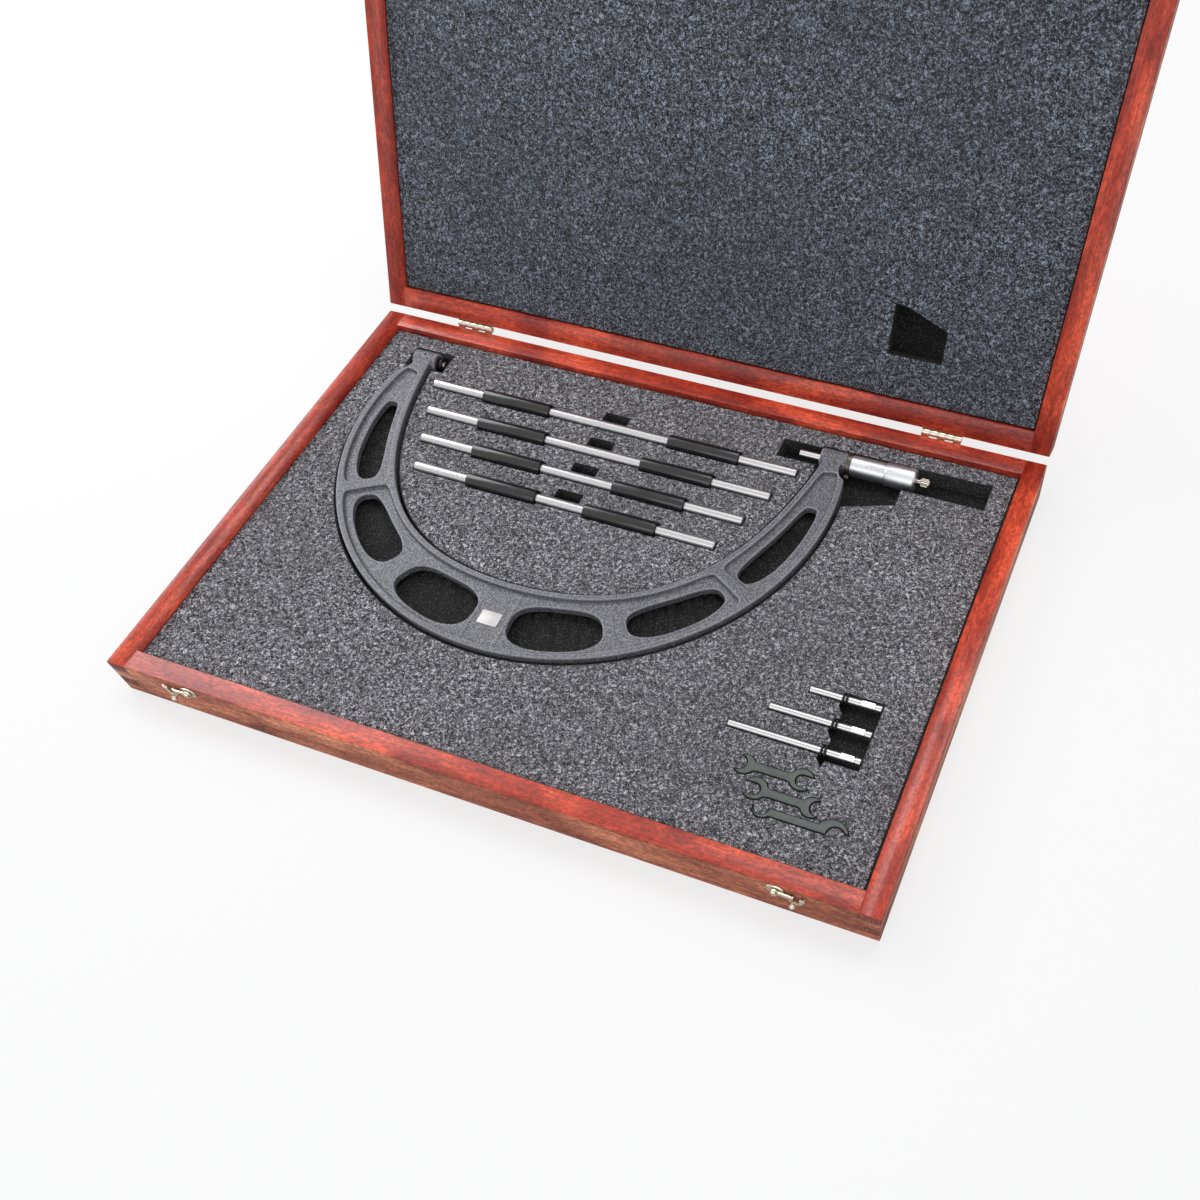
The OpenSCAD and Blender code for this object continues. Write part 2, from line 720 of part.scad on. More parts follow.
module head_pockets() {
  translate([set_x + hub_in - 1, axis_pocket_y - head_pocket_d / 2])
    square([head_pocket_x - set_x - hub_in + 1, head_pocket_d]);
  translate([spindle_pocket_x, axis_pocket_y - spindle_pocket_d / 2 + 1.2])
    square([set_x + hub_in - spindle_pocket_x, spindle_pocket_d]);
  polygon([[hand_x1, axis_pocket_y], [hand_x1, hand_y1], [hand_x0, hand_y0],
           [hand_x0 - 10, hand_y0 - 4], [hand_x0 - 10, axis_pocket_y]]);
  translate([set_x - hub_out - 5.4, axis_y - hub_d / 2 - 2.2])
    square([anvil_slot_x - set_x + hub_out + 5.4, hub_d + 4.4]);
}

module spare_pocket() {
  y_top = spare_y(0) + anvil_pocket_half;
  y_end = spare_y(2) - anvil_pocket_half - 2.6;
  x0 = nut_x_b - 0.4;
  translate([x0 + 5, y_end]) square([anvil_end_x + seat_gap - x0 - 5, y_top - y_end]);
  for (i = [0 : 2]) polygon([
    [x0, spare_y(i) + 5.9], [x0, spare_y(i) - 7.6], [x0 + 5, spare_y(i) - 14],
    [x0 + 6, spare_y(i) - 7.6], [x0 + 6, spare_y(i) + 5.9]]);
}

module base_foam() {
  deep = axis_z - lock_d / 2 - pocket_below;
  color(FOAM) difference() {
    translate([-in_w / 2 + foam_gap, -in_d / 2 + foam_gap, panel_t])
      cube([in_w - 2 * foam_gap, in_d - 2 * foam_gap, foam_z - panel_t]);
    translate([0, 0, axis_z - frame_t / 2]) linear_extrude(frame_t + 20)
      translate([set_x, axis_y]) bow_outline(pocket_gap, 0);
    deep_cut(deep) head_pockets();
    deep_cut(foam_z - nut_d / 2 - 2) intersection() {
      spare_pocket();
      translate([0, spare_y(2) - 14]) square([case_w / 2, spare_y(0) - spare_y(2) + 28]);
    }
    for (i = [0 : 2]) {
      bar_x(anvil_end_x - spare_len(i) - seat_gap, anvil_end_x - 4, anvil_d / 2 + seat_gap,
        spare_y(i), foam_z);
    }
    for (i = [0 : 3]) {
      half = std_length(i) / 2;
      bar_x(set_x - half - seat_gap, set_x + half + seat_gap, rod_d / 2 + seat_gap, std_at(i), foam_z);
      for (s = [-1, 1]) {
        x0 = s > 0 ? set_x + half - bare_end - grip_len : set_x - half + bare_end;
        bar_x(x0 - seat_gap, x0 + grip_len + seat_gap, grip_d / 2 + seat_gap, std_at(i), foam_z);
      }
      translate([set_x - notch_w / 2 + 1.8, std_at(i), foam_z - 12]) cube([notch_w, notch_d, 20]);
    }
    wrench_bed(wrench_a) open_wrench_form(groove, 10);
    wrench_bed(wrench_b) mirror([1, 0, 0]) open_wrench_form(groove, 10);
    wrench_bed(wrench_c) linear_extrude(10) hook_wrench_shape(groove);
  }
}

// Hinges: five knuckles each, three on the base and two on the lid
knuckle_n = 5;
knuckle_len = hinge_len / knuckle_n;
side_gap = 0.1;

module knuckles(first, y_in, y_out, z0, z1) {
  for (s = [-1, 1]) for (i = [first : 2 : knuckle_n - 1]) {
    x0 = s * hinge_x - hinge_len / 2 + i * knuckle_len + side_gap;
    len = knuckle_len - 2 * side_gap;
    difference() {
      union() {
        bar_x(x0, x0 + len, knuckle_r, pin_y, pin_z);
        translate([x0, y_in, z0]) cube([len, y_out - y_in, z1 - z0]);
      }
      bar_x(x0 - 1, x0 + len + 1, hinge_pin_r + (first == 0 ? 0 : run), pin_y, pin_z);
    }
  }
}

module leaf_plates(z0) {
  for (s = [-1, 1]) translate([s * hinge_x - hinge_len / 2, case_d / 2, z0])
    cube([hinge_len, leaf_t, leaf_h - 3]);
}

module base_hinge_leaves() {
  leaf_top = base_h - 3.2;
  color(NICKEL) difference() {
    union() {
      leaf_plates(leaf_top - leaf_h + 3);
      knuckles(0, case_d / 2 + hinge_out - knuckle_r, case_d / 2 + leaf_t, leaf_top - 1, pin_z);
    }
    head_holes_y(base_hinge_places, case_d / 2, 1);
  }
}

module lid_hinge_leaves() {
  leaf_low = pin_z + knuckle_r + 0.3;
  color(NICKEL) opened() difference() {
    union() {
      leaf_plates(leaf_low);
      knuckles(1, case_d / 2 + hinge_out - knuckle_r, case_d / 2 + leaf_t, pin_z, leaf_low + 1);
    }
    head_holes_y(lid_hinge_places, case_d / 2, 1);
  }
}

module hinge_pins() {
  color(STEEL) for (s = [-1, 1])
    bar_x(s * hinge_x - hinge_len / 2, s * hinge_x + hinge_len / 2, hinge_pin_r, pin_y, pin_z);
}

module base_hinge_screws() {
  color(NICKEL) screws_y(base_hinge_places, case_d / 2, 1, leaf_t);
}

module lid_hinge_screws() {
  color(NICKEL) opened() screws_y(lid_hinge_places, case_d / 2, 1, leaf_t);
}

// Swing latches on the front face
module oval_plates(z) {
  for (s = [-1, 1]) translate([s * latch_x, face_y, z]) rotate([90, 0, 0])
    linear_extrude(plate_t) intersection() {
      translate([0, -plate_w]) circle(r = plate_w + plate_h / 2, $fn = 96);
      translate([0, plate_w]) circle(r = plate_w + plate_h / 2, $fn = 96);
      circle(d = plate_w, $fn = 64);
    }
}

rivet_r = 1.5;
layer = 0.5;
hook_y = face_y - plate_t - layer;

module latch_plates() {
  color(NICKEL) difference() {
    oval_plates(latch_z);
    head_holes_y(latch_places, face_y, -1);
  }
}

module latch_screws() {
  color(NICKEL) screws_y(latch_places, face_y, -1, plate_t);
}

module latch_rivets() {
  head = hook_y - hook_t - layer;
  color(NICKEL) for (s = [-1, 1]) {
    bar_y(s * latch_x, latch_z, head - eps, face_y - plate_t, rivet_r);
    bar_y(s * latch_x, latch_z, head - 0.8, head, rivet_r + 1.1);
  }
}

slot_half = catch_r + 0.5;
leg_w = 3.1;
module hook_shape() {
  r_out = slot_half + leg_w;
  difference() {
    union() {
      circle(r = rivet_r + 1.8, $fn = 40);
      translate([0, -hook_arm / 2]) square([hook_reach - slot_half, hook_arm]);
      translate([hook_reach, -pin_drop - 0.5]) circle(r = r_out, $fn = 48);
      translate([hook_reach + slot_half, -pin_drop - 0.5])
        polygon([[0, 0], [leg_w, 0], [leg_w + 1.2, 3.4], [leg_w + 0.7, 6.8], [leg_w - 0.9, 5], [0, 3]]);
    }
    circle(r = rivet_r + run, $fn = 40);
    translate([hook_reach, -pin_drop - 0.5]) circle(r = slot_half, $fn = 40);
    translate([hook_reach - slot_half, -pin_drop - 0.5]) square([2 * slot_half, 3 * r_out]);
  }
}

module hook(side) {
  color(NICKEL) translate([side * latch_x, hook_y, latch_z]) scale([side, 1, 1])
    rotate([90, hook_rest, 0]) {
      linear_extrude(hook_t) hook_shape();
      translate([hook_reach - 1.6, -pin_drop - slot_half - leg_w + 0.8, 0]) {
        cylinder(r = knob_r * 0.56, h = hook_t + knob_r, $fn = 32);
        translate([0, 0, hook_t + knob_r]) sphere(r = knob_r, $fn = 40);
      }
    }
}

module left_hook() { hook(-1); }
module right_hook() { hook(1); }

// Lid, drawn closed and swung open
module lid_shift() {
  translate([0, 0, lid_z]) children();
}

module lid_front_rail() {
  color(WOOD) opened() difference() {
    lid_shift() front_rail(lid_h, lid_fingers, 1);
    screw_holes_y(catch_places, face_y, -1);
  }
}

module lid_back_rail() {
  color(WOOD) opened() difference() {
    lid_shift() back_rail(lid_h, lid_fingers, 1);
    screw_holes_y(lid_hinge_places, case_d / 2, 1);
  }
}

module lid_left_rail() {
  color(WOOD) opened() lid_shift() side_rail(lid_h, lid_fingers, 0, -1);
}

module lid_right_rail() {
  color(WOOD) opened() lid_shift() side_rail(lid_h, lid_fingers, 0, 1);
}

module lid_panel() {
  color(WOOD) opened() translate([-in_w / 2, -in_d / 2, lid_z + lid_h - panel_t])
    cube([in_w, in_d, panel_t]);
}

relief_x = head_x + 9.7;
relief_back = axis_y - 7;
relief_rise = 15;
module lid_foam() {
  x1 = relief_x + relief_w;
  y0 = relief_back - relief_d;
  color(FOAM) opened() difference() {
    translate([-in_w / 2 + foam_gap, -in_d / 2 + foam_gap, lid_foam_z])
      cube([in_w - 2 * foam_gap, in_d - 2 * foam_gap, lid_h - lid_foam_drop - panel_t]);
    translate([0, 0, lid_foam_z - 1]) linear_extrude(lid_h - lid_foam_drop - panel_t - 4)
      polygon([[relief_x, y0], [relief_x + 12, y0 + 1.4], [x1, y0 + relief_rise],
               [x1, relief_back], [relief_x, relief_back]]);
  }
}

module catch_plates() {
  color(NICKEL) opened() difference() {
    oval_plates(catch_z);
    head_holes_y(catch_places, face_y, -1);
  }
}

module catch_screws() {
  color(NICKEL) opened() screws_y(catch_places, face_y, -1, plate_t);
}

module catch_pins() {
  head = hook_y - hook_t - layer;
  color(NICKEL) opened() for (s = [-1, 1]) {
    bar_y(s * latch_x, catch_z, head - eps, face_y - plate_t, catch_r);
    bar_y(s * latch_x, catch_z, head - 0.6, head, catch_r + 0.6);
  }
}

base_front_rail();
base_back_rail();
base_left_rail();
base_right_rail();
base_panel();
base_foam();
base_hinge_leaves();
hinge_pins();
base_hinge_screws();
latch_plates();
latch_rivets();
latch_screws();
left_hook();
right_hook();
lid_front_rail();
lid_back_rail();
lid_left_rail();
lid_right_rail();
lid_panel();
lid_foam();
lid_hinge_leaves();
lid_hinge_screws();
catch_plates();
catch_pins();
catch_screws();
mic_frame();
name_plate();
anvil_set_screw();
fitted_anvil();
fitted_anvil_nuts();
barrel();
sleeve();
lock_ring();
spindle();
thimble();
ratchet_stop();
standard_a();
standard_b();
standard_c();
standard_d();
grips_a();
grips_b();
grips_c();
grips_d();
spare_anvil_a();
spare_anvil_b();
spare_anvil_c();
anvil_nuts_a();
anvil_nuts_b();
anvil_nuts_c();
open_wrench_a();
open_wrench_b();
hook_wrench();
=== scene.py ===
"""Looks for the cased bow micrometer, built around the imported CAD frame."""
import json
import math

import bmesh
import bpy
from mathutils import Matrix, Vector


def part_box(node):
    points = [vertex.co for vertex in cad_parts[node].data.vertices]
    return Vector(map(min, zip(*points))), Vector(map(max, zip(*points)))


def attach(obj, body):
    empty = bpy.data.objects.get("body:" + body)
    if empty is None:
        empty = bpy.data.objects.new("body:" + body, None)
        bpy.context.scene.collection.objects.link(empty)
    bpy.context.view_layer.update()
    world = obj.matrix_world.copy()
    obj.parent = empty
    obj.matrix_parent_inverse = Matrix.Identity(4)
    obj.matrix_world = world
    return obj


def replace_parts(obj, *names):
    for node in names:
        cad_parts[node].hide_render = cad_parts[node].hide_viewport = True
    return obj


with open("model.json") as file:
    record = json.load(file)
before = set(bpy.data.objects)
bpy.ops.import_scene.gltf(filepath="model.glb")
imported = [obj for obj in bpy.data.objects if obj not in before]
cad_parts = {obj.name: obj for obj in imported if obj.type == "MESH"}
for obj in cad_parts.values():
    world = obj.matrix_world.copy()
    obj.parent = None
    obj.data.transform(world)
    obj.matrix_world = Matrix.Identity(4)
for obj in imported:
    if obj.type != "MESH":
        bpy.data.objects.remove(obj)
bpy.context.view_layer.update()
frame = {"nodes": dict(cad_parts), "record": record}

# ---------------------------------------------------------------- values in metres
MM = 0.001
LID_TURN = math.radians(115)
BODY_OF = {n: b for b, ns in frame["record"]["behaviour"]["bodies"].items() for n in ns}
PIN_Y = 0.5 * (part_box("hinge_pins")[0].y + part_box("hinge_pins")[1].y)
PIN_Z = 0.5 * (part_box("hinge_pins")[0].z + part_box("hinge_pins")[1].z)
TURN_C, TURN_S = math.cos(LID_TURN), math.sin(LID_TURN)


def to_closed(p):
    """A point of the open lid, swung back to where it is when the lid is shut."""
    y, z = p.y - PIN_Y, p.z - PIN_Z
    return Vector((p.x, PIN_Y + TURN_C * y - TURN_S * z, PIN_Z + TURN_S * y + TURN_C * z))


def to_open(p):
    y, z = p.y - PIN_Y, p.z - PIN_Z
    return Vector((p.x, PIN_Y + TURN_C * y + TURN_S * z, PIN_Z - TURN_S * y + TURN_C * z))


FACE_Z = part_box("base_foam")[1].z
LID_FACE_Z = min(to_closed(v.co).z for v in frame["nodes"]["lid_foam"].data.vertices)


def srgb(r, g, b):
    """Colour as it looks on screen, 0 to 255, made linear."""
    out = []
    for c in (r, g, b):
        c = max(0, min(255, c)) / 255
        out.append(c / 12.92 if c <= 0.04045 else ((c + 0.055) / 1.055) ** 2.4)
    return (*out, 1.0)


# ---------------------------------------------------------------- node helpers
class Mat:
    """A material and short calls that add nodes to it.

    Its coordinates are millimetres. lid=True swings them to where they are with the lid shut.
    """

    def __init__(self, name, rough=0.5, metal=0.0, spec=0.5, lid=False):
        self.m = bpy.data.materials.new(name)
        self.m.use_nodes = True
        self.t = self.m.node_tree
        self.b = self.t.nodes["Principled BSDF"]
        self.b.inputs["Roughness"].default_value = rough
        self.b.inputs["Metallic"].default_value = metal
        self.b.inputs["Specular IOR Level"].default_value = spec
        self.lid = lid

    def node(self, kind, **values):
        n = self.t.nodes.new(kind)
        for k, v in values.items():
            setattr(n, k, v)
        return n

    def link(self, a, b):
        self.t.links.new(a, b)
        return b

    def coords(self, scale=(1, 1, 1)):
        out = self.node("ShaderNodeTexCoord").outputs["Object"]
        if self.lid:
            r = self.node("ShaderNodeMapping")
            r.inputs["Rotation"].default_value = (LID_TURN, 0, 0)
            p = Vector((0, PIN_Y, PIN_Z))
            r.inputs["Location"].default_value = p - Matrix.Rotation(LID_TURN, 3, "X") @ p
            self.link(out, r.inputs["Vector"])
            out = r.outputs["Vector"]
        s = self.node("ShaderNodeMapping")
        s.inputs["Scale"].default_value = [1000 * k for k in scale]
        self.link(out, s.inputs["Vector"])
        return s.outputs["Vector"]

    def noise(self, vec, scale, detail=3.0, rough=0.55, dist=0.0):
        n = self.node("ShaderNodeTexNoise")
        for k, v in (("Scale", scale), ("Detail", detail), ("Roughness", rough),
                     ("Distortion", dist)):
            n.inputs[k].default_value = v
        self.link(vec, n.inputs["Vector"])
        return n.outputs["Fac"]

    def voronoi(self, vec, scale, flat=False):
        n = self.node("ShaderNodeTexVoronoi", voronoi_dimensions="2D" if flat else "3D")
        n.inputs["Scale"].default_value = scale
        self.link(vec, n.inputs["Vector"])
        return n.outputs["Distance"]

    def ramp(self, fac, stops):
        n = self.node("ShaderNodeValToRGB")
        e = n.color_ramp.elements
        e[0].position, e[0].color = stops[0]
        e[1].position, e[1].color = stops[-1]
        for p, c in stops[1:-1]:
            x = e.new(p)
            x.color = c
        self.link(fac, n.inputs["Fac"])
        return n.outputs["Color"]

    def band(self, fac, a, b, lo=0.0, hi=1.0):
        n = self.node("ShaderNodeMapRange")
        for i, v in enumerate((a, b, lo, hi)):
            n.inputs[i + 1].default_value = v
        self.link(fac, n.inputs[0])
        return n.outputs[0]

    def math(self, op, a, b=0.0):
        n = self.node("ShaderNodeMath", operation=op)
        for i, v in enumerate((a, b)):
            if isinstance(v, (int, float)):
                n.inputs[i].default_value = v
            else:
                self.link(v, n.inputs[i])
        return n.outputs[0]

    def mix(self, fac, a, b, kind="MIX"):
        n = self.node("ShaderNodeMix", data_type="RGBA", blend_type=kind)
        for i, v in ((0, fac), (6, a), (7, b)):
            if isinstance(v, (int, float, tuple)):
                n.inputs[i].default_value = v
            else:
                self.link(v, n.inputs[i])
        return n.outputs[2]

    def axis(self, vec, k):
        n = self.node("ShaderNodeSeparateXYZ")
        self.link(vec, n.inputs[0])
        return n.outputs[k]

    def bump(self, height, strength, dist):
        n = self.node("ShaderNodeBump")
        n.inputs["Strength"].default_value = strength
        n.inputs["Distance"].default_value = dist
        self.link(height, n.inputs["Height"])
        return n.outputs["Normal"]

    def base(self, colour):
        self.link(colour, self.b.inputs["Base Color"])

    def rough(self, value):
        self.link(value, self.b.inputs["Roughness"])

    def normal(self, value):
        self.link(value, self.b.inputs["Normal"])


# ---------------------------------------------------------------- materials
def grey(v):
    return (v, v, v, 1.0)


def wood(name, grain, lid=False, deep=(140, 32, 20), warm=(232, 90, 58), lines=0.45, gloss=0.3,
         coat=0.3):
    """Stained hardwood with its flecked figure. grain is the axis that the grain runs along."""
    m = Mat(name, rough=gloss, spec=0.3, lid=lid)

    def along(k):
        return [k if i == grain else 1.0 for i in range(3)]

    cloud = m.noise(m.coords(along(0.35)), 0.035, 3, 0.6, 0.5)
    fleck = m.noise(m.coords(along(0.45)), 0.55, 3, 0.65)
    line = m.noise(m.coords(along(0.035)), 0.75, 3, 0.6, 0.3)
    mid = tuple(0.5 * (a + b) for a, b in zip(deep, warm))
    c = m.ramp(cloud, [(0.30, srgb(*deep)), (0.50, srgb(*mid)), (0.68, srgb(*warm))])
    pale = m.ramp(fleck, [(0.33, grey(0.42)), (0.50, grey(0.95)), (0.66, grey(1.55))])
    c = m.mix(0.75, c, pale, "MULTIPLY")
    dark = m.ramp(line, [(0.36, grey(0.35)), (0.52, grey(1.0)), (0.7, grey(1.2))])
    c = m.mix(lines, c, dark, "MULTIPLY")
    m.base(c)
    m.rough(m.band(fleck, 0.3, 0.7, gloss * 1.25, gloss * 0.85))
    h = m.math("ADD", m.math("MULTIPLY", fleck, 0.35), m.math("MULTIPLY", line, 0.65))
    m.normal(m.bump(h, 0.3, 0.0002))
    m.b.inputs["Coat Weight"].default_value = coat
    m.b.inputs["Coat Roughness"].default_value = 0.32
    return m.m


def foam(name, mid, face, up, lid=False, pits=0.0):
    """Closed-cell foam: a wrinkled skin with painted shade in its hollows, painted highlight on its
    crests and painted glints, and, below its face, black open cells: partly their own tone, partly
    painted shade in the pockets.
    """
    m = Mat(name, rough=0.8, spec=0.3, lid=lid)
    v = m.coords()
    wrinkle = m.noise(v, 0.36, 3, 0.62, 0.9)
    fine = m.noise(v, 0.95, 2, 0.6)
    cells = m.voronoi(v, 0.55)
    painted_glint = m.voronoi(v, 0.34, True)
    wide = m.noise(v, 0.008, 2, 0.5)
    relief_and_painted_shade = m.math("ADD", m.math("MULTIPLY", wrinkle, 0.62), m.math("MULTIPLY", fine, 0.38))
    r, g, b = mid
    # painted shade in the wrinkles' hollows and painted highlight on their crests: the colour
    # follows the same height as the bump
    c = m.ramp(relief_and_painted_shade, [(0.41, srgb(r * 0.16, g * 0.16, b * 0.17)),
                      (0.49, srgb(r * 0.80, g * 0.80, b * 0.80)),
                      (0.55, srgb(r * 1.25, g * 1.25, b * 1.23)),
                      (0.62, srgb(r * 2.1, g * 2.1, b * 2.06))])
    # painted glints: small white specks that stand for highlights on the skin
    c = m.mix(m.band(painted_glint, 0.13, 0.05, 0, 0.85), c, srgb(214, 214, 216))
    c = m.mix(m.band(wide, 0.35, 0.65, 0, 0.25), c, srgb(r * 0.7, g * 0.7, b * 0.7))
    low = relief_and_painted_shade
    if pits:
        dots = m.voronoi(v, 0.088, True)
        side = m.band(m.axis(v, 0), 40, -160, 0, 1)
        hole = m.math("MULTIPLY", m.band(dots, 0.13, 0.09, 0, 1), side)
        # painted shade: the dents are painted near black, as well as sunk by the bump
        c = m.mix(m.math("MULTIPLY", hole, pits), c, srgb(14, 14, 15))
        low = m.math("SUBTRACT", relief_and_painted_shade, m.math("MULTIPLY", hole, 0.8))
    # below the face: open cells, partly their own dark tone and partly painted shade in the
    # pockets, down to near black
    cut = m.ramp(cells, [(0.16, srgb(96, 96, 98)), (0.24, srgb(26, 26, 28)), (0.6, srgb(9, 9, 10))])
    depth = m.math("MULTIPLY", m.math("SUBTRACT", m.axis(v, 2), 1000 * face), up)
    c = m.mix(m.band(depth, -0.05, -0.02), cut, c)
    m.base(c)
    h = m.math("ADD", m.math("MULTIPLY", low, 0.8), m.math("MULTIPLY", cells, 0.25))
    m.normal(m.bump(h, 0.85, 0.0014))
    return m.m


def steel(name, tint=(206, 206, 208), rough=0.3, along=0, grain=0.4, spread=0.86):
    """Ground and lapped steel, with fine marks round the bar."""
    m = Mat(name, rough=rough, metal=1.0)
    s = [1.0, 1.0, 1.0]
    s[along] = 5.0
    fine = m.noise(m.coords(s), 0.7, 3, 0.6)
    r, g, b = tint
    m.base(m.ramp(fine, [(0.3, srgb(r * spread, g * spread, b * spread)), (0.7, srgb(r, g, b))]))
    m.rough(m.band(fine, 0.3, 0.7, rough * 0.8, rough * 1.25))
    m.normal(m.bump(fine, grain * 0.25, 0.00005))
    return m.m


def enamel(name):
    """Crinkle-finish grey enamel on cast iron, with a painted highlight on raised edges and painted
    shade in corners.
    """
    m = Mat(name, rough=0.42, spec=0.5)
    v = m.coords()
    fine = m.noise(v, 0.85, 4, 0.65)
    wide = m.noise(v, 0.03, 2, 0.5)
    c = m.ramp(fine, [(0.34, srgb(34, 34, 38)), (0.50, srgb(90, 90, 96)),
                      (0.66, srgb(168, 168, 176))])
    c = m.mix(m.band(wide, 0.3, 0.7, 0, 0.25), c, srgb(82, 82, 90))
    edge = m.node("ShaderNodeNewGeometry").outputs["Pointiness"]
    # painted highlight on convex edges and painted shade in concave corners, placed by pointiness
    c = m.mix(m.band(edge, 0.505, 0.56, 0, 0.6), c, srgb(176, 176, 182))
    c = m.mix(m.band(edge, 0.495, 0.44, 0, 0.8), c, srgb(30, 30, 34))
    m.base(c)
    m.rough(m.band(fine, 0.3, 0.7, 0.52, 0.36))
    m.normal(m.bump(fine, 0.5, 0.0006))
    return m.m


def mottled(name, dark, pale, rough=0.3, scale=0.5, bump=0.1, metal=0.0, spec=0.5, coat=0.0):
    """Smooth finish with slight mottling: grips, black oxide, blued steel, the bare plate, ink."""
    m = Mat(name, rough=rough, metal=metal, spec=spec)
    n = m.noise(m.coords(), scale, 3, 0.6)
    m.base(m.ramp(n, [(0.3, srgb(*dark)), (0.7, srgb(*pale))]))
    m.rough(m.band(n, 0.3, 0.7, rough * 0.8, rough * 1.3))
    m.normal(m.bump(m.noise(m.coords(), scale * 3, 2, 0.5), bump, 0.0001))
    m.b.inputs["Coat Weight"].default_value = coat
    return m.m


# SIDE: the outside faces' wood, paler and browner than the top, which is painted light for how the
# light falls on them; END: end grain, darker of itself
SIDE = dict(deep=(136, 68, 50), warm=(226, 144, 110), lines=0.8, gloss=0.5, coat=0.0)
END = dict(deep=(86, 40, 34), warm=(140, 78, 62), lines=0.5, gloss=0.55, coat=0.0)
M = {
    "wood_x": wood("wood_front_rail", 0), "wood_y": wood("wood_side_rail", 1),
    "wood_lid_x": wood("wood_lid_rail", 0, True), "wood_lid_y": wood("wood_lid_side", 1, True),
    "side_x": wood("wood_face_front", 0, **SIDE), "side_y": wood("wood_face_side", 1, **SIDE),
    "side_lid_x": wood("wood_face_lid", 0, True, **SIDE),
    "side_lid_y": wood("wood_face_lid_side", 1, True, **SIDE),
    "end": wood("wood_end_grain", 2, **END), "end_lid": wood("wood_end_grain_lid", 2, True, **END),
    "panel": wood("wood_panel", 0, **SIDE), "panel_lid": wood("wood_panel_lid", 0, True),
    "foam": foam("foam_base", (104, 103, 109), FACE_Z, 1, pits=0.9),
    "foam_lid": foam("foam_lid", (82, 87, 97), LID_FACE_Z, -1, True),
    "nickel": steel("nickel", (226, 218, 196), 0.26, 2, 0.5),
    "steel": steel("steel_ground", (208, 207, 209), 0.3, 0),
    "satin": steel("steel_satin_chrome", (222, 224, 228), 0.38, 0, 0.6, 0.9),
    "bright": steel("steel_bright_knurl", (196, 190, 180), 0.25, 0, 0.6, 0.7),
    "enamel": enamel("enamel_crinkle"),
    "plate": mottled("plate_bare", (190, 187, 186), (212, 209, 208), 0.4, 0.4, 0.05, 0.2),
    "oxide": mottled("oxide_black", (14, 14, 16), (34, 34, 38), 0.28, 0.6, 0.2, 0.6),
    "bronze": mottled("ring_dark", (60, 57, 52), (112, 107, 98), 0.34, 0.7, 0.2, 0.9),
    "grip": mottled("grip_black", (9, 9, 11), (20, 20, 24), 0.22, 0.12, 0.12, 0.0, 0.5, 0.25),
    "blued": mottled("wrench_blued", (58, 64, 63), (88, 94, 91), 0.45, 0.3, 0.3, 0.3),
    "ink": mottled("ink_black", (22, 22, 24), (40, 40, 44), 0.5, 1.0, 0.0),
}


# ---------------------------------------------------------------- mesh helpers
def add_object(name, mesh, mats, body, smooth_deg=35):
    mesh.shade_smooth()
    mesh.set_sharp_from_angle(angle=math.radians(smooth_deg))
    o = bpy.data.objects.new(name, mesh)
    bpy.context.scene.collection.objects.link(o)
    for k in mats:
        o.data.materials.append(M[k])
    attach(o, body)
    return o


def finish_mesh(name, bm, node, mats, hides=True, smooth_deg=35):
    """Makes an object of bm. It rides with node's body and, as a rule, stands for node."""
    mesh = bpy.data.meshes.new(name)
    bm.to_mesh(mesh)
    bm.free()
    o = add_object(name, mesh, [mats] if isinstance(mats, str) else mats, BODY_OF[node], smooth_deg)
    if hides:
        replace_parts(o, node)
    return o


def cad_bmesh(node, flat=True):
    """The node's mesh with its points joined and, as a rule, its flat faces made whole."""
    bm = bmesh.new()
    bm.from_mesh(frame["nodes"][node].data)
    bmesh.ops.remove_doubles(bm, verts=bm.verts, dist=2e-6)
    if flat:
        bmesh.ops.dissolve_limit(bm, angle_limit=math.radians(0.6), verts=bm.verts, edges=bm.edges)
    return bm


def sharp_edges(bm, deg=30):
    return [e for e in bm.edges
            if len(e.link_faces) == 2 and e.calc_face_angle(0) > math.radians(deg)]


def bevelled(node, mats, width, segments=2, deg=30, pick=None, face_mat=None):
    """A copy of the node with its sharp edges rounded. pick gives each edge's width, or None."""
    bm = cad_bmesh(node)
    groups = {}
    for e in sharp_edges(bm, deg):
        w = pick(e) if pick else width
        if w:
            groups.setdefault(w, []).append(e)
    for w in sorted(groups, reverse=True):
        edges = [e for e in groups[w] if e.is_valid]
        if edges:
            bmesh.ops.bevel(bm, geom=edges, offset=w, offset_type="OFFSET", segments=segments,
                            profile=0.5, affect="EDGES", clamp_overlap=True)
    if face_mat:
        bm.normal_update()
        for f in bm.faces:
            f.material_index = face_mat(f)
    bmesh.ops.triangulate(bm, faces=[f for f in bm.faces if len(f.verts) > 4])
    return finish_mesh(node + "_look", bm, node, mats)


def paint(node, mat):
    o = frame["nodes"][node]
    o.data.materials.clear()
    o.data.materials.append(M[mat])
    return o


def turned(name, node, mat, y, z, rings, teeth, hides=True, tube=False):
    """A turned piece on an axis along x at y, z. Each ring is x, radius and depth of knurl.

    All are millimetres. tube=True joins the last ring to the first, which leaves a bore.
    """
    bm = bmesh.new()
    n = 2 * teeth
    loops = []
    for x, r, cut in rings:
        loop = []
        for k in range(n):
            a = math.pi * k / teeth
            q = r - (cut if k % 2 else 0)
            at = (x * MM, (y + q * math.sin(a)) * MM, (z + q * math.cos(a)) * MM)
            loop.append(bm.verts.new(at))
        loops.append(loop)
    pairs = list(zip(loops, loops[1:])) + ([(loops[-1], loops[0])] if tube else [])
    for a, b in pairs:
        for k in range(n):
            bm.faces.new((a[k], a[(k + 1) % n], b[(k + 1) % n], b[k]))
    if not tube:
        bm.faces.new(loops[0])
        bm.faces.new(loops[-1])
    bmesh.ops.recalc_face_normals(bm, faces=bm.faces)
    return finish_mesh(name, bm, node, mat, hides, 28)


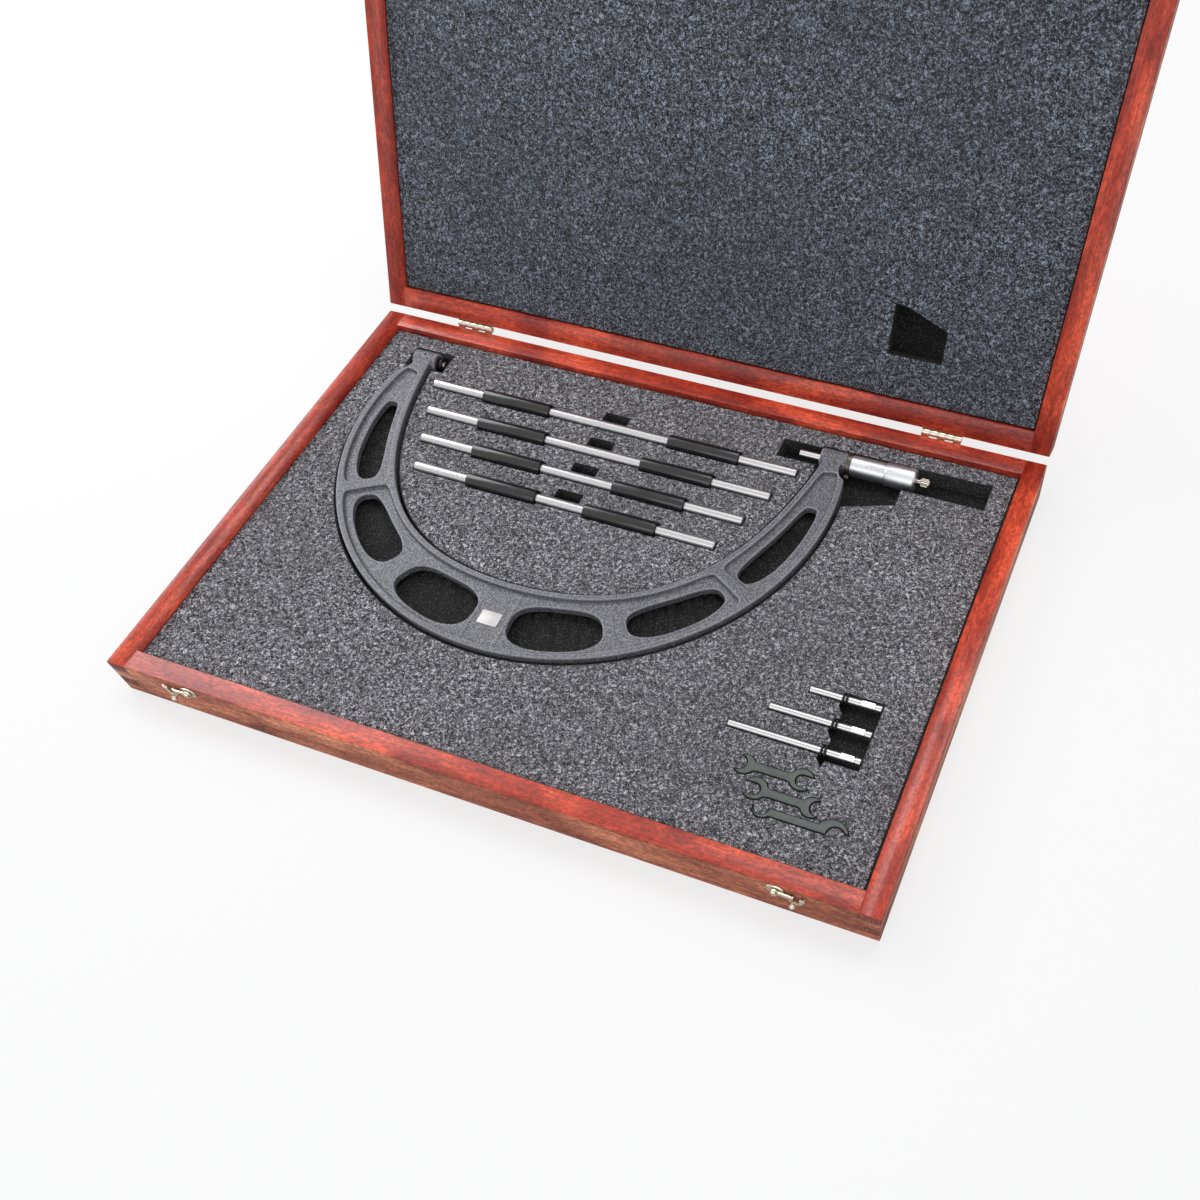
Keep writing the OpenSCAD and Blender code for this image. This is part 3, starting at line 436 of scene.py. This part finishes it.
# ---------------------------------------------------------------- case
SIDES = ("front", "back", "left", "right")
CORNER_ROUND = 0.0009
FINGER_ROUND = 0.00018


def hull_of(nodes, closed=False):
    lo, hi = Vector((9, 9, 9)), Vector((-9, -9, -9))
    for n in nodes:
        for v in frame["nodes"][n].data.vertices:
            p = to_closed(v.co) if closed else v.co
            lo, hi = Vector(map(min, lo, p)), Vector(map(max, hi, p))
    return lo, hi


def rail(node, along, lo, hi, closed):
    """A rail with rounded outside edges, and end grain on its fingers.

    Its outside face gets a paler, browner copy of the wood, with stronger grain lines and no coat:
    the paler colour is painted light, for how the light falls on that face.
    """
    grain = 0 if along == "x" else 1
    side = 1 - grain
    put = to_closed if closed else (lambda p: p)

    def pick(e):
        p, q = (put(v.co) for v in e.verts)
        d = (q - p).normalized()
        m = (p + q) / 2
        on = [min(abs(m[i] - lo[i]), abs(m[i] - hi[i])) < 0.0002 for i in range(3)]
        free = [i for i in range(3) if abs(d[i]) < 0.01]
        return CORNER_ROUND if len(free) == 2 and all(on[i] for i in free) else FINGER_ROUND

    def face_mat(f):
        m = put(f.calc_center_median())
        n = (put(f.calc_center_median() + f.normal * 0.01) - m).normalized()
        if abs(n[grain]) > 0.8:
            return 2
        near = min(abs(m[side] - lo[side]), abs(m[side] - hi[side])) < 0.0012
        return 1 if abs(n[side]) > 0.6 and near else 0

    lid = "lid_" if closed else ""
    mats = ["wood_" + lid + along, "side_" + lid + along, "end_lid" if closed else "end"]
    return bevelled(node, mats, 0.001, 3, pick=pick, face_mat=face_mat)


blo, bhi = hull_of([f"base_{s}_rail" for s in SIDES])
llo, lhi = hull_of([f"lid_{s}_rail" for s in SIDES], True)
for s in SIDES:
    along = "x" if s in ("front", "back") else "y"
    rail(f"base_{s}_rail", along, blo, bhi, False)
    rail(f"lid_{s}_rail", along, llo, lhi, True)
paint("base_panel", "panel")
paint("lid_panel", "panel_lid")


def foam_piece(node, mat, closed, face_z, up, edge_w, pocket_w, long_w, drop=0.0003):
    """The node's foam with every edge of its face drawn back a little, as a die leaves it.

    edge_w gives the widths at the left, right, front and back edges, pocket_w the width round the
    pockets and long_w the width round the longest pocket, which is the bow's. drop is how far the
    drawn-back edge goes down. A closed node is swung shut first, so that its face lies level.
    """
    bm = cad_bmesh(node, flat=False)
    if closed:
        for v in bm.verts:
            v.co = to_closed(v.co)
    bm.normal_update()
    bm.faces.index_update()
    bm.edges.index_update()
    top = [f for f in bm.faces
           if f.normal.z * up > 0.99 and abs(f.calc_center_median().z - face_z) < 5e-5]
    # the face's rim, and for each of its points the directions that lead into the face
    inside = {f.index for f in top}
    rim, inward = [], {}
    for e in sorted({e for f in top for e in f.edges}, key=lambda e: e.index):
        if sum(f.index in inside for f in e.link_faces) == 1:
            f = next(f for f in e.link_faces if f.index in inside)
            a, b = e.verts
            d = (b.co - a.co).normalized()
            n = Vector((-d.y, d.x, 0))
            third = next(v for v in f.verts if v not in (a, b))
            if (third.co - a.co).dot(n) < 0:
                n = -n
            rim.append((a, b))
            inward.setdefault(a, []).append(n)
            inward.setdefault(b, []).append(n)
    # the closed line that each point lies on
    link = {}
    for a, b in rim:
        link.setdefault(a, []).append(b)
        link.setdefault(b, []).append(a)
    group, lines = {}, []
    for v in link:
        if v not in group:
            line, todo = [], [v]
            while todo:
                w = todo.pop()
                if w not in group:
                    group[w] = len(lines)
                    line.append(w)
                    todo += link[w]
            lines.append(line)
    length = [sum((a.co - b.co).length for a, b in rim if group[a] == k)
              for k in range(len(lines))]
    outer = min(range(len(lines)), key=lambda k: min(v.co.x for v in lines[k]))
    bow = max((k for k in range(len(lines)) if k != outer), key=lambda k: length[k],
              default=None)
    xs = [v.co.x for v in lines[outer]]
    ys = [v.co.y for v in lines[outer]]
    bmesh.ops.delete(bm, geom=top, context="FACES")
    # a second line inside the first, with a sloping strip between them
    twin = {}
    for v, norms in inward.items():
        step = Vector((0, 0, 0))
        if group[v] == outer:
            near = (v.co.x - min(xs), max(xs) - v.co.x, v.co.y - min(ys), max(ys) - v.co.y)
            for d, w, n in zip(near, edge_w, ((1, 0), (-1, 0), (0, 1), (0, -1))):
                if d < 0.002:
                    step += w * Vector((*n, 0))
        else:
            a, b = norms[0], norms[-1]
            width = long_w if group[v] == bow else pocket_w
            step = (a + b) / max(0.5, 1 + a.dot(b)) * width
        twin[v] = bm.verts.new(v.co + step)
    for v in inward:
        v.co.z -= up * drop
    edges = []
    for a, b in rim:
        bm.faces.new((a, b, twin[b], twin[a]))
        edges.append(bm.edges.get((twin[a], twin[b])))
    bmesh.ops.triangle_fill(bm, use_beauty=True, use_dissolve=False, edges=edges, normal=(0, 0, up))
    bmesh.ops.recalc_face_normals(bm, faces=bm.faces)
    if closed:
        for v in bm.verts:
            v.co = to_open(v.co)
    o = finish_mesh(node + "_look", bm, node, mat)


FOAM_EDGE = 0.0008
foam_piece("base_foam", "foam", False, FACE_Z, 1, (0.0006, 0.0022, 0.002, 0.0006), FOAM_EDGE,
           2 * FOAM_EDGE)
foam_piece("lid_foam", "foam_lid", True, LID_FACE_Z, -1, (FOAM_EDGE,) * 4, FOAM_EDGE, FOAM_EDGE)

for n in ("base_hinge_leaves", "lid_hinge_leaves", "latch_plates", "catch_plates"):
    bevelled(n, "nickel", 0.0002)
for n in ("left_hook", "right_hook"):
    bevelled(n, "nickel", 0.0003)
for n in ("base_hinge_screws", "lid_hinge_screws", "latch_screws", "catch_screws", "hinge_pins",
          "latch_rivets", "catch_pins"):
    paint(n, "nickel")


# ---------------------------------------------------------------- micrometer
def cast(node, mat, voxel, rounds):
    """A casting: the node's form with all its edges and corners rounded off."""
    bm = cad_bmesh(node, flat=False)
    mesh = bpy.data.meshes.new(node + "_cast")
    bm.to_mesh(mesh)
    bm.free()
    o = bpy.data.objects.new("cast", mesh)
    bpy.context.scene.collection.objects.link(o)
    r = o.modifiers.new("r", "REMESH")
    r.mode, r.voxel_size, r.adaptivity = "VOXEL", voxel, 0.0
    s = o.modifiers.new("s", "SMOOTH")
    s.factor, s.iterations = 0.5, rounds
    dg = bpy.context.evaluated_depsgraph_get()
    done = bpy.data.meshes.new_from_object(o.evaluated_get(dg))
    bpy.data.objects.remove(o)
    done.materials.clear()
    return add_object(node + "_look", done, [mat], BODY_OF[node], 180)


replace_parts(cast("mic_frame", "enamel", 0.0009, 3), "mic_frame")
bevelled("name_plate", "plate", 0.00025)
paint("anvil_set_screw", "oxide")
paint("fitted_anvil", "steel")
paint("barrel", "steel")
paint("sleeve", "satin")
bevelled("thimble", "satin", 0.0002)
paint("spindle", "steel")
bevelled("lock_ring", "bronze", 0.0004)

AXIS_Y = 0.5 * (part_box("sleeve")[0].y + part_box("sleeve")[1].y) / MM
AXIS_Z = 0.5 * (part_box("sleeve")[0].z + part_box("sleeve")[1].z) / MM
STOP_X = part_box("ratchet_stop")[0].x / MM
# the stop's profile from its neck to its end: x from STOP_X, radius, depth of knurl
STOP_RINGS = [
    (0, 2.3, 0), (0.3, 2.6, 0), (1.2, 2.6, 0), (1.35, 2.2, 0), (1.9, 2.2, 0), (2.05, 2.7, 0),
    (3.2, 2.7, 0), (3.25, 3.7, 0), (3.6, 4.15, 0), (4.2, 4.15, 0), (4.4, 4.2, 0.32),
    (10.4, 4.2, 0.32), (10.6, 4.15, 0), (11.3, 4.15, 0), (11.8, 3.8, 0), (12.2, 3.3, 0)]
STOP_TEETH = 24
turned("ratchet_stop_look", "ratchet_stop", "bright", AXIS_Y, AXIS_Z,
       [(STOP_X + x, r, cut) for x, r, cut in STOP_RINGS], STOP_TEETH)

# nuts, in millimetres
NUT_CHAMFER, NUT_TEETH = 0.35, 22
SPARE_NUT_T, SPARE_NUT_BORE = 2.2, 3.19
FITTED_NUT_T, FITTED_NUT_BORE = 2.4, 3.62
FITTED_NUT_X = (-289.1, -261.9, -258.7)


def knurled_nut(name, node, x, t, r, bore, y, z):
    """A thin knurled nut from x to x + t, on an axis along x at y, z."""
    c = NUT_CHAMFER
    turned(name, node, "oxide", y, z, [
        (x + 0.02, bore, 0), (x + 0.02, r - 0.7, 0), (x + c, r - 0.05, 0.1),
        (x + c + 0.15, r, 0.3), (x + t - c - 0.15, r, 0.3), (x + t - c, r - 0.05, 0.1),
        (x + t - 0.02, r - 0.7, 0), (x + t - 0.02, bore, 0)], NUT_TEETH, True, True)


for node in ("fitted_anvil_nuts", "anvil_nuts_a", "anvil_nuts_b", "anvil_nuts_c"):
    lo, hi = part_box(node)
    y, z, r = 500 * (lo.y + hi.y), 500 * (lo.z + hi.z), 500 * (hi.y - lo.y)
    if node == "fitted_anvil_nuts":
        t, bore, starts = FITTED_NUT_T, FITTED_NUT_BORE, FITTED_NUT_X
    else:
        t, bore = SPARE_NUT_T, SPARE_NUT_BORE
        starts = (1000 * lo.x, 1000 * hi.x - t)
    for i, x in enumerate(starts):
        knurled_nut(f"{node}_{i}", node, x, t, r, bore, y, z)

for n in "abcd":
    paint(f"standard_{n}", "steel")
    bevelled(f"grips_{n}", "grip", 0.0004)
for n in "abc":
    paint(f"spare_anvil_{n}", "steel")
for n in ("open_wrench_a", "open_wrench_b", "hook_wrench"):
    bevelled(n, "blued", 0.0003)

# ---------------------------------------------------------------- graduations and numbers
# each digit is strokes on a field 1 wide and 2 high: x, y, x, y and so on
DIGITS = {"0": [(0, 0, 1, 0, 1, 2, 0, 2, 0, 0)], "1": [(0.5, 0, 0.5, 2)],
          "2": [(0, 2, 1, 2, 1, 1, 0, 1, 0, 0, 1, 0)],
          "3": [(0, 2, 1, 2, 1, 0, 0, 0), (0.2, 1, 1, 1)], "4": [(0, 2, 0, 1, 1, 1), (1, 2, 1, 0)],
          "5": [(1, 2, 0, 2, 0, 1, 1, 1, 1, 0, 0, 0)], "6": [(1, 2, 0, 2, 0, 0, 1, 0, 1, 1, 0, 1)],
          "7": [(0, 2, 1, 2, 0.4, 0)], "8": [(0, 0, 1, 0, 1, 2, 0, 2, 0, 0), (0, 1, 1, 1)],
          "9": [(0, 0, 1, 0, 1, 2, 0, 2, 0, 1, 1, 1)]}


# how finely a stroke follows the round, and how deep and high a mark goes
STROKE_STEP = 0.08
MARK_SUNK, MARK_PROUD = 0.04, 0.03


def wrapped(name, node, radius, strokes, width):
    """Thin marks laid on a cylinder of the head, as one piece.

    Each stroke is x, angle, x, angle, in millimetres and in radians from the top.
    """
    bm = bmesh.new()
    for x0, a0, x1, a1 in strokes:
        n = max(1, int(abs(a1 - a0) / STROKE_STEP))
        for k in range(n):
            xa, xb = x0 + (x1 - x0) * k / n, x0 + (x1 - x0) * (k + 1) / n
            aa, ab = a0 + (a1 - a0) * k / n, a0 + (a1 - a0) * (k + 1) / n
            dx, ds = xb - xa, (ab - aa) * radius
            q = width / 2 / max(1e-6, math.hypot(dx, ds))
            nx, na = -ds * q, dx * q / radius
            ring = [(xa + nx, aa + na), (xb + nx, ab + na),
                    (xb - nx, ab - na), (xa - nx, aa - na)]
            both = []
            for r in (radius - MARK_SUNK, radius + MARK_PROUD):
                both.append([bm.verts.new((x * MM, (AXIS_Y - r * math.sin(a)) * MM,
                                           (AXIS_Z + r * math.cos(a)) * MM)) for x, a in ring])
            low, high = both
            bm.faces.new(high)
            bm.faces.new(low[::-1])
            for i in range(4):
                j = (i + 1) % 4
                bm.faces.new((low[i], low[j], high[j], high[i]))
    bmesh.ops.recalc_face_normals(bm, faces=bm.faces)
    return finish_mesh(name, bm, node, "ink", False)


def number(text, x, a, high, radius, turn):
    """Strokes of a number with its foot at x, a. It stands along x if turn, or else the angle."""
    out, k = [], high / 2
    for i, ch in enumerate(text):
        for line in DIGITS[ch]:
            pts = [((line[j] + 1.5 * i) * k * 0.8, line[j + 1] * k) for j in range(0, len(line), 2)]
            for (u0, v0), (u1, v1) in zip(pts, pts[1:]):
                if turn:
                    out.append((x + v0, a + u0 / radius, x + v1, a + u1 / radius))
                else:
                    out.append((x + u0, a - v0 / radius, x + u1, a - v1 / radius))
    return out


SLEEVE_R, THIMBLE_R = 9.4, 10.6
THIMBLE_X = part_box("thimble")[0].x / MM
OPEN_BY = 17.0  # how far the head stands open
ZERO_X = THIMBLE_X - OPEN_BY
INCH = 25.4
THREADS = 40  # to the inch
DIVISIONS = 25  # round the thimble
LINE_A = 0.45  # the datum line's angle from the top
MARK_W = 0.14

# sleeve: the datum line, a mark for each turn of the thimble, a number for each tenth of an inch
marks = [(ZERO_X, LINE_A, ZERO_X + INCH, LINE_A)]
for k in range(THREADS + 1):
    x = ZERO_X + INCH * k / THREADS
    marks.append((x, LINE_A, x, LINE_A - (0.30 if k % 4 == 0 else 0.17)))
for k in range(10):
    marks += number(str(k), ZERO_X + INCH * k / 10 - 0.4, LINE_A + 0.25, 1.4, SLEEVE_R, 0)
wrapped("sleeve_scale", "sleeve", SLEEVE_R, marks, MARK_W)

# thimble: a mark for each thousandth of an inch, a number for each fifth mark
marks = []
for k in range(DIVISIONS):
    a = LINE_A + 2 * math.pi * k / DIVISIONS
    marks.append((THIMBLE_X + 2.1, a, THIMBLE_X + (4.4 if k % 5 == 0 else 3.5), a))
    if k % 5 == 0:
        marks += number(str(k), THIMBLE_X + 5.0, a - 0.05, 1.5, THIMBLE_R, 1)
wrapped("thimble_scale", "thimble", THIMBLE_R, marks, MARK_W)

# ---------------------------------------------------------------- stage, light and camera
# the floor looks white to the camera and keeps the case's shadow
scene = bpy.context.scene
floor_mat = Mat("floor_pale", rough=0.9, spec=0.1)
floor_mat.b.inputs["Base Color"].default_value = (0.88, 0.88, 0.88, 1.0)
path = floor_mat.node("ShaderNodeLightPath")
glow = floor_mat.node("ShaderNodeEmission")
share = floor_mat.math("MULTIPLY", path.outputs["Is Camera Ray"], 0.72)
both = floor_mat.node("ShaderNodeMixShader")
floor_mat.link(share, both.inputs[0])
floor_mat.link(floor_mat.b.outputs[0], both.inputs[1])
floor_mat.link(glow.outputs[0], both.inputs[2])
floor_mat.link(both.outputs[0], floor_mat.t.nodes["Material Output"].inputs["Surface"])
bm = bmesh.new()
bmesh.ops.create_grid(bm, x_segments=8, y_segments=8, size=6.0)
mesh = bpy.data.meshes.new("floor")
bm.to_mesh(mesh)
bm.free()
floor = bpy.data.objects.new("floor", mesh)
scene.collection.objects.link(floor)
floor.location = (0, 0, -0.0002)
floor.data.materials.append(floor_mat.m)

# the world lights at half strength, and is white to the camera and in reflections
world = bpy.data.worlds.new("studio")
scene.world = world
world.use_nodes = True
wt = world.node_tree
bg = wt.nodes["Background"]
bg.inputs["Color"].default_value = (0.95, 0.97, 1.0, 1)
bg.inputs["Strength"].default_value = 0.5
white = wt.nodes.new("ShaderNodeBackground")
white.inputs["Color"].default_value = (1, 1, 1, 1)
white.inputs["Strength"].default_value = 1.0
lp = wt.nodes.new("ShaderNodeLightPath")
pick = wt.nodes.new("ShaderNodeMath")
pick.operation = "MAXIMUM"
wt.links.new(lp.outputs["Is Camera Ray"], pick.inputs[0])
wt.links.new(lp.outputs["Is Glossy Ray"], pick.inputs[1])
mixer = wt.nodes.new("ShaderNodeMixShader")
wt.links.new(pick.outputs[0], mixer.inputs[0])
wt.links.new(bg.outputs[0], mixer.inputs[1])
wt.links.new(white.outputs[0], mixer.inputs[2])
wt.links.new(mixer.outputs[0], wt.nodes["World Output"].inputs["Surface"])


def area(name, at, to, size, power, colour=(1, 1, 1)):
    light = bpy.data.lights.new(name, "AREA")
    light.shape = "RECTANGLE"
    light.size, light.size_y = size
    light.energy = power
    light.color = colour
    o = bpy.data.objects.new(name, light)
    o.location = at
    o.rotation_mode = "QUATERNION"
    o.rotation_quaternion = (Vector(to) - Vector(at)).to_track_quat("-Z", "Y")
    scene.collection.objects.link(o)


area("window", (-1.7, 0.7, 1.45), (0, 0, 0), (1.5, 1.1), 24, (0.97, 0.98, 1.0))
area("overhead", (0.3, 0.9, 2.1), (0, 0, 0), (1.3, 0.9), 17, (1.0, 0.98, 0.96))
area("front", (0.1, -1.9, 1.0), (0, 0, 0.02), (1.8, 0.8), 7)

# the camera as fitted to the straight edges of the case: right, up and back are its axes
cam = bpy.data.objects.new("camera", bpy.data.cameras.new("camera"))
scene.collection.objects.link(cam)
right = Vector((0.93107, 0.36222, -0.0438))
up = Vector((-0.29845, 0.82515, 0.47964))
back = Vector((0.20988, -0.43351, 0.87637))
turn = Matrix((right, up, back)).transposed()
cam.matrix_world = Matrix.Translation((0.40426, -0.54502, 0.77017)) @ turn.to_4x4()
cam.data.sensor_width = 36.0
cam.data.lens = 32.946
cam.data.shift_x = -0.1328
cam.data.shift_y = 0.1756
cam.data.clip_start, cam.data.clip_end = 0.02, 30.0
scene.camera = cam
scene.view_settings.view_transform = "Standard"
